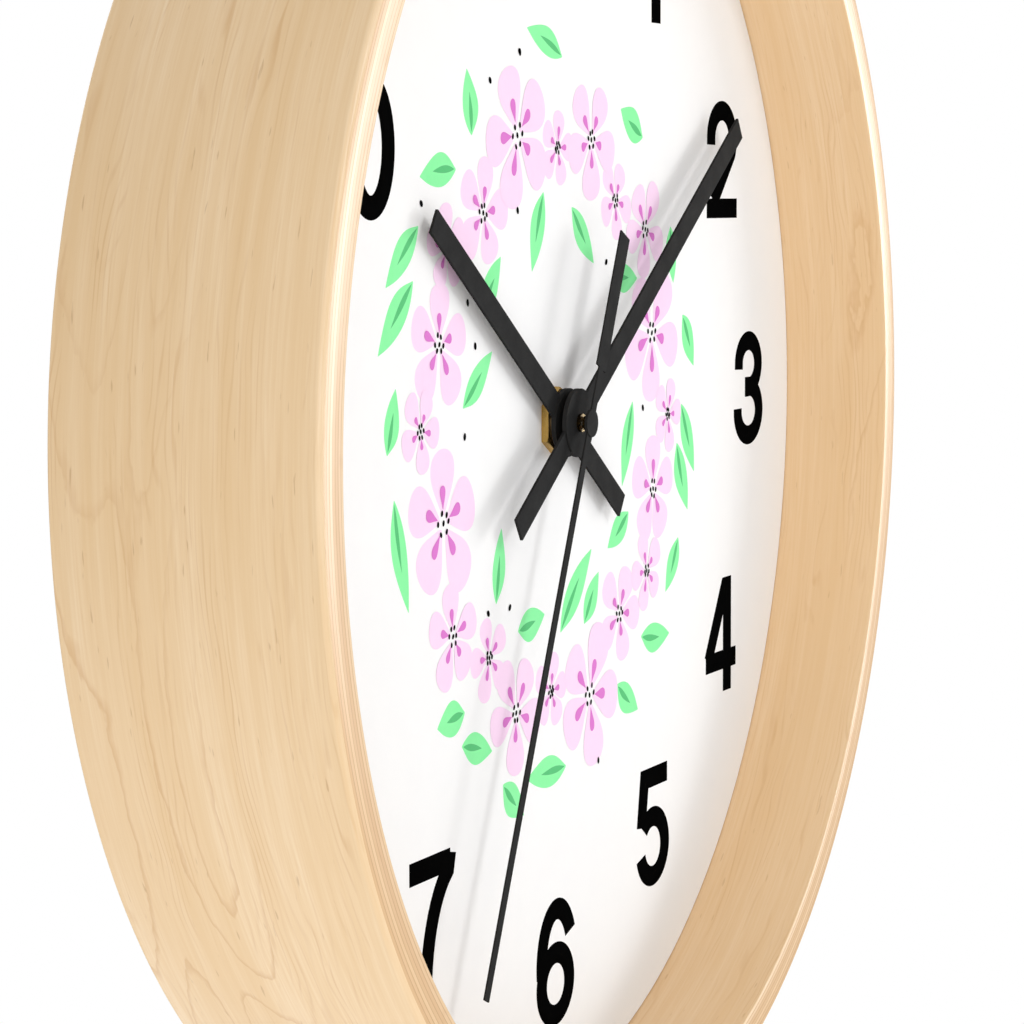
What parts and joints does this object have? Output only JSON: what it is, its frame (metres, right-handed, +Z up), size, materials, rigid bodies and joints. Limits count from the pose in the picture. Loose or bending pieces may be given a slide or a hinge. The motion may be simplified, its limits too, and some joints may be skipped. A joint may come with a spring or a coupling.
{
  "type": "wall clock",
  "caption": "Round analogue wall clock: deep bentwood hoop, recessed printed dial with numerals, baton hands on a brass-nutted arbor, battery quartz movement with rear hanger.",
  "frame": {"origin": "centre of the hanger's nail hole, at the hanger's back face", "axes": "+Z up, +Y into the wall, so the dial faces -Y; +X to the right for someone who looks at the dial"},
  "size_m": [0.254, 0.044, 0.254],
  "materials": {
    "maple": "clear satin lacquer",
    "fibreboard": "raw",
    "dial_paper": "matte print",
    "hand_paint": "matte dark paint",
    "black_plastic": "fine grained",
    "knob_plastic": "moulded",
    "brass": "turned",
    "steel": "turned",
    "contact_metal": "nickel plated",
    "gear_plastic": "moulded",
    "magnet": "ground",
    "bobbin_plastic": "moulded",
    "enamelled_wire": "wound",
    "circuit_laminate": "solder mask",
    "epoxy": "cast",
    "gasket_rubber": "matte",
    "cell_jacket": "printed sleeve"
  },
  "bodies": {
    "clock": {"wood_hoop": "maple", "glue_blocks": "maple", "backing_board": "fibreboard", "dial_sheet": "dial_paper", "board_gasket": "gasket_rubber", "threaded_bush": "steel", "hex_nut": "brass", "movement_case": "black_plastic", "middle_plate": "gear_plastic", "rear_cover": "black_plastic", "stator_plate": "steel", "coil_core": "steel", "coil_bobbin": "bobbin_plastic", "coil_winding": "enamelled_wire", "circuit_board": "circuit_laminate", "control_chip": "epoxy", "quartz_crystal": "contact_metal", "contact_positive": "contact_metal", "contact_negative": "contact_metal"},
    "minute_group": {"minute_arbor": "brass", "clutch_spring": "steel", "minute_hand": "hand_paint"},
    "hour_group": {"hour_wheel": "gear_plastic", "hour_hand": "hand_paint"},
    "reverse_group": {"reverse_wheel": "gear_plastic"},
    "setting_group": {"setting_pinion": "gear_plastic", "set_knob": "knob_plastic"},
    "second_group": {"second_wheel": "gear_plastic", "second_arbor": "steel", "second_hand_tube": "brass", "second_hand": "hand_paint"},
    "intermediate_group": {"intermediate_wheel": "gear_plastic"},
    "rotor_group": {"rotor_magnet": "magnet", "rotor_pinion": "gear_plastic"},
    "third_group": {"third_wheel": "gear_plastic"},
    "centre_group": {"centre_wheel": "gear_plastic"},
    "battery": {"battery_cell": "cell_jacket"}
  },
  "joints": [
    {"name": "minute_spin", "type": "hinge", "parent": "clock", "child": "minute_group", "pos_m": [0, 0, -0.036], "axis": [0, 1, 0], "continuous": true},
    {"name": "hour_spin", "type": "hinge", "parent": "clock", "child": "hour_group", "pos_m": [0, 0, -0.036], "axis": [0, 1, 0], "continuous": true},
    {"name": "reverse_spin", "type": "hinge", "parent": "clock", "child": "reverse_group", "pos_m": [-0.00693, 0, -0.032], "axis": [0, 1, 0], "continuous": true},
    {"name": "setting_spin", "type": "hinge", "parent": "clock", "child": "setting_group", "pos_m": [-0.01386, 0, -0.028], "axis": [0, 1, 0], "continuous": true},
    {"name": "second_spin", "type": "hinge", "parent": "clock", "child": "second_group", "pos_m": [0, 0, -0.036], "axis": [0, 1, 0], "continuous": true},
    {"name": "intermediate_spin", "type": "hinge", "parent": "clock", "child": "intermediate_group", "pos_m": [-0.00308, 0, -0.02754], "axis": [0, 1, 0], "continuous": true},
    {"name": "rotor_spin", "type": "hinge", "parent": "clock", "child": "rotor_group", "pos_m": [0.00117, 0, -0.02018], "axis": [0, 1, 0], "continuous": true},
    {"name": "third_spin", "type": "hinge", "parent": "clock", "child": "third_group", "pos_m": [0.00808, 0, -0.03306], "axis": [0, 1, 0], "continuous": true},
    {"name": "centre_spin", "type": "hinge", "parent": "clock", "child": "centre_group", "pos_m": [0, 0, -0.036], "axis": [0, 1, 0], "continuous": true},
    {"name": "battery_out", "type": "slide", "parent": "clock", "child": "battery", "axis": [0, 1, 0], "range_m": [0, 0.025]}
  ],
  "couplings": [
    {"joint": "hour_spin", "follows": "minute_spin", "ratio": 0.083333},
    {"joint": "reverse_spin", "follows": "minute_spin", "ratio": -0.33333},
    {"joint": "setting_spin", "follows": "minute_spin", "ratio": 1},
    {"joint": "intermediate_spin", "follows": "second_spin", "ratio": -4},
    {"joint": "rotor_spin", "follows": "second_spin", "ratio": 30},
    {"joint": "third_spin", "follows": "second_spin", "ratio": -0.13333},
    {"joint": "centre_spin", "follows": "second_spin", "ratio": 0.016667}
  ]
}
